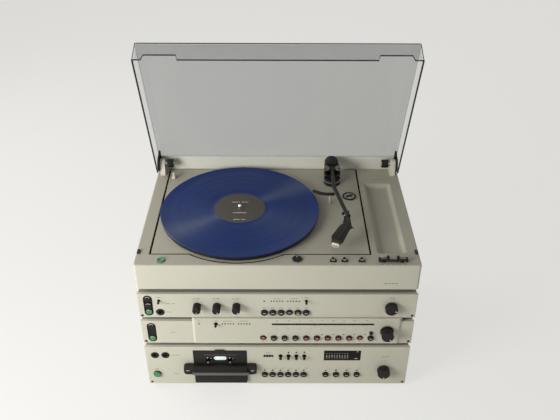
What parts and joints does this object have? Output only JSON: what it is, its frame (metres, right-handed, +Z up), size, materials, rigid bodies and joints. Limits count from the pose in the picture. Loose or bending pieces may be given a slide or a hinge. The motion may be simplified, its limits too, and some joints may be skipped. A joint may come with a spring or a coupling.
{
  "type": "stereo music centre",
  "caption": "Stacked home audio set: a belt-drive record player under an open smoked cover, on an amplifier, a tuner and a cassette deck.",
  "frame": {"origin": "on the floor under the middle of the whole object with its cover open", "axes": "+X to the right seen from the front, +Y to the rear, +Z up"},
  "size_m": [0.5, 0.376, 0.6158],
  "materials": {
    "warm_paint": "matte warm grey paint",
    "fascia_paint": "matte light warm grey paint",
    "deck_paint": "matte warm grey paint on the floating panel",
    "warm_plastic": "light warm grey moulded plastic",
    "board": "dark composition board",
    "sheet_steel": "matte warm grey paint on folded sheet",
    "plated_steel": "plated steel",
    "brass": "turned brass",
    "black_rubber": "black rubber",
    "black_plastic": "satin black plastic",
    "charcoal_plastic": "charcoal plastic",
    "vinyl_blue": "grooved dark blue vinyl",
    "chrome_trim": "polished chrome plate",
    "dark_metal": "dark anodised aluminium",
    "black_metal": "black enamel",
    "red_plastic": "red plastic",
    "white_plastic": "off-white plastic",
    "green_lens": "green translucent plastic",
    "red_lens": "red lamp lens",
    "dark_glass": "dark display window",
    "smoked_acrylic": "smoked clear acrylic"
  },
  "bodies": {
    "stack": {"amp_case": "sheet_steel", "amp_fascia": "fascia_paint", "arm_pedestal": "black_plastic", "arm_rest": "black_plastic", "display_windows": "dark_glass", "drive_belt": "black_rubber", "drive_motor": "plated_steel", "fascia_screws": "black_metal", "feet_and_pads": "black_rubber", "hinge_brackets": "warm_plastic", "indicator_lenses": "red_lens", "plinth": "warm_paint", "plinth_floor": "board", "power_transformer": "plated_steel", "scale_panel": "fascia_paint", "sockets": "dark_metal", "subchassis": "deck_paint", "tape_case": "sheet_steel", "tape_fascia": "fascia_paint", "tape_mechanism": "black_plastic", "tuner_case": "sheet_steel", "tuner_fascia": "fascia_paint"},
    "turntable": {"platter": "black_plastic", "platter_mat": "black_rubber", "record": "vinyl_blue"},
    "pulley": {"motor_pulley": "brass"},
    "cover": {"dust_cover": "smoked_acrylic", "hinge_arms": "black_plastic"},
    "yoke": {"arm_yoke": "chrome_trim"},
    "tonearm": {"arm_tube": "dark_metal", "counterweight": "black_metal", "headshell": "dark_metal", "cartridge": "red_plastic"},
    "lever": {"lift_lever": "warm_plastic"},
    "lift_bar": {"arm_lift_bar": "dark_metal"},
    "antiskate_dial": {"antiskate_dial": "black_plastic"},
    "pitch_knob": {"pitch_knob": "black_plastic"},
    "deck_keys": {"deck_keys": "black_plastic"},
    "deck_power_key": {"deck_power_key": "green_lens"},
    "lock_lever": {"lock_lever": "white_plastic"},
    "amp_power_key": {"amp_power_key": "green_lens"},
    "pill_keys": {"pill_keys": "black_plastic"},
    "source_keys": {"source_keys": "black_plastic"},
    "station_keys": {"station_keys": "black_plastic"},
    "tuner_power_key": {"tuner_power_key": "green_lens"},
    "tape_keys": {"tape_keys": "black_plastic"},
    "tape_power_key": {"tape_power_key": "green_lens"},
    "bass_knob": {"bass_knob": "black_plastic"},
    "treble_knob": {"treble_knob": "black_plastic"},
    "balance_knob": {"balance_knob": "black_plastic"},
    "volume_knob": {"volume_knob": "black_plastic"},
    "tuning_knob": {"tuning_knob": "black_plastic"},
    "level_knob": {"level_knob": "black_plastic"},
    "amp_toggles": {"amp_toggles": "chrome_trim"},
    "tuner_toggle": {"tuner_toggle": "chrome_trim"},
    "tape_toggles": {"tape_toggles": "chrome_trim"},
    "dial_pointer": {"dial_pointer": "red_plastic"},
    "cassette_door": {"cassette_door": "charcoal_plastic"},
    "supply_hub": {"supply_hub": "white_plastic"},
    "takeup_hub": {"takeup_hub": "white_plastic"}
  },
  "joints": [
    {"name": "platter_spin", "type": "hinge", "parent": "stack", "child": "turntable", "pos_m": [-0.072, -0.002, 0.302], "axis": [0, 0, 1], "continuous": true},
    {"name": "pulley_spin", "type": "hinge", "parent": "stack", "child": "pulley", "pos_m": [-0.1571, 0.06449, 0.297], "axis": [0, 0, 1], "continuous": true},
    {"name": "cover_hinge", "type": "hinge", "parent": "stack", "child": "cover", "pos_m": [0, 0.145, 0.324], "axis": [1, 0, 0], "range_deg": [0, 69.5]},
    {"name": "arm_yaw", "type": "hinge", "parent": "stack", "child": "yoke", "pos_m": [0.1108, 0.116, 0.329], "axis": [0, 0, 1], "range_deg": [-46, 0]},
    {"name": "arm_pitch", "type": "hinge", "parent": "yoke", "child": "tonearm", "pos_m": [0.1108, 0.116, 0.329], "axis": [-1, 0, 0], "range_deg": [0, 3.5]},
    {"name": "lift_lever_tilt", "type": "hinge", "parent": "stack", "child": "lever", "pos_m": [0.20125, -0.1495, 0.3055], "axis": [1, 0, 0], "range_deg": [0, 5.1]},
    {"name": "lift_bar_rise", "type": "slide", "parent": "stack", "child": "lift_bar", "axis": [0, 0, 1], "range_m": [0, 0.0053]},
    {"name": "antiskate_turn", "type": "hinge", "parent": "stack", "child": "antiskate_dial", "pos_m": [0.1417, 0.054, 0.302], "axis": [0, 0, 1], "range_deg": [-150, 150]},
    {"name": "pitch_turn", "type": "hinge", "parent": "stack", "child": "pitch_knob", "pos_m": [0.034, -0.145, 0.302], "axis": [0, 0, 1], "range_deg": [-60, 60]},
    {"name": "lock_turn", "type": "hinge", "parent": "stack", "child": "lock_lever", "pos_m": [-0.214, 0.122, 0.302], "axis": [0, 0, 1], "range_deg": [0, 90]},
    {"name": "deck_keys_press", "type": "slide", "parent": "stack", "child": "deck_keys", "axis": [0, 0, -1], "range_m": [0, 0.0015], "stiffness_N_per_m": 150, "springref_m": -0.002},
    {"name": "deck_power_press", "type": "slide", "parent": "stack", "child": "deck_power_key", "axis": [0, 0, -1], "range_m": [0, 0.002], "stiffness_N_per_m": 150, "springref_m": -0.002},
    {"name": "amp_power_press", "type": "slide", "parent": "stack", "child": "amp_power_key", "axis": [0, 1, 0], "range_m": [0, 0.0025], "stiffness_N_per_m": 150, "springref_m": -0.002},
    {"name": "pill_keys_press", "type": "slide", "parent": "stack", "child": "pill_keys", "axis": [0, 1, 0], "range_m": [0, 0.0025], "stiffness_N_per_m": 150, "springref_m": -0.002},
    {"name": "source_keys_press", "type": "slide", "parent": "stack", "child": "source_keys", "axis": [0, 1, 0], "range_m": [0, 0.003], "stiffness_N_per_m": 150, "springref_m": -0.002},
    {"name": "station_keys_press", "type": "slide", "parent": "stack", "child": "station_keys", "axis": [0, 1, 0], "range_m": [0, 0.003], "stiffness_N_per_m": 150, "springref_m": -0.002},
    {"name": "tuner_power_press", "type": "slide", "parent": "stack", "child": "tuner_power_key", "axis": [0, 1, 0], "range_m": [0, 0.0025], "stiffness_N_per_m": 150, "springref_m": -0.002},
    {"name": "tape_keys_press", "type": "slide", "parent": "stack", "child": "tape_keys", "axis": [0, 1, 0], "range_m": [0, 0.003], "stiffness_N_per_m": 150, "springref_m": -0.002},
    {"name": "tape_power_press", "type": "slide", "parent": "stack", "child": "tape_power_key", "axis": [0, 1, 0], "range_m": [0, 0.0025], "stiffness_N_per_m": 150, "springref_m": -0.002},
    {"name": "bass_turn", "type": "hinge", "parent": "stack", "child": "bass_knob", "pos_m": [-0.144, -0.166, 0.213], "axis": [0, 1, 0], "range_deg": [-150, 150]},
    {"name": "treble_turn", "type": "hinge", "parent": "stack", "child": "treble_knob", "pos_m": [-0.1088, -0.166, 0.213], "axis": [0, 1, 0], "range_deg": [-150, 150]},
    {"name": "balance_turn", "type": "hinge", "parent": "stack", "child": "balance_knob", "pos_m": [-0.0736, -0.166, 0.213], "axis": [0, 1, 0], "range_deg": [-150, 150]},
    {"name": "volume_turn", "type": "hinge", "parent": "stack", "child": "volume_knob", "pos_m": [0.2042, -0.166, 0.2103], "axis": [0, 1, 0], "range_deg": [-150, 150]},
    {"name": "level_turn", "type": "hinge", "parent": "stack", "child": "level_knob", "pos_m": [0.2042, -0.166, 0.048], "axis": [0, 1, 0], "range_deg": [-150, 150]},
    {"name": "tuning_turn", "type": "hinge", "parent": "stack", "child": "tuning_knob", "pos_m": [0.201, -0.166, 0.154], "axis": [0, 1, 0], "range_deg": [-360, 505]},
    {"name": "pointer_travel", "type": "slide", "parent": "stack", "child": "dial_pointer", "axis": [1, 0, 0], "range_m": [-0.076, 0.107]},
    {"name": "cassette_door_hinge", "type": "hinge", "parent": "stack", "child": "cassette_door", "pos_m": [-0.10885, -0.1638, 0.032], "axis": [1, 0, 0], "range_deg": [0, 20]},
    {"name": "supply_spin", "type": "hinge", "parent": "stack", "child": "supply_hub", "pos_m": [-0.1305, -0.166, 0.0745], "axis": [0, 1, 0], "continuous": true},
    {"name": "takeup_spin", "type": "hinge", "parent": "stack", "child": "takeup_hub", "pos_m": [-0.0882, -0.166, 0.0745], "axis": [0, 1, 0], "continuous": true},
    {"name": "amp_toggles_flip", "type": "hinge", "parent": "stack", "child": "amp_toggles", "pos_m": [0, -0.162, 0.224], "axis": [1, 0, 0], "range_deg": [-18, 18]},
    {"name": "tuner_toggle_flip", "type": "hinge", "parent": "stack", "child": "tuner_toggle", "pos_m": [-0.1122, -0.1655, 0.1711], "axis": [1, 0, 0], "range_deg": [-18, 18]},
    {"name": "tape_toggles_flip", "type": "hinge", "parent": "stack", "child": "tape_toggles", "pos_m": [0.0285, -0.162, 0.0845], "axis": [1, 0, 0], "range_deg": [-18, 18]}
  ],
  "couplings": [
    {"joint": "pulley_spin", "follows": "platter_spin", "ratio": 9.662},
    {"joint": "lift_lever_tilt", "follows": "arm_pitch", "ratio": 1.4286},
    {"joint": "lift_bar_rise", "follows": "arm_pitch", "m_per_rad": 0.084},
    {"joint": "pointer_travel", "follows": "tuning_turn", "m_per_rad": 0.012}
  ]
}
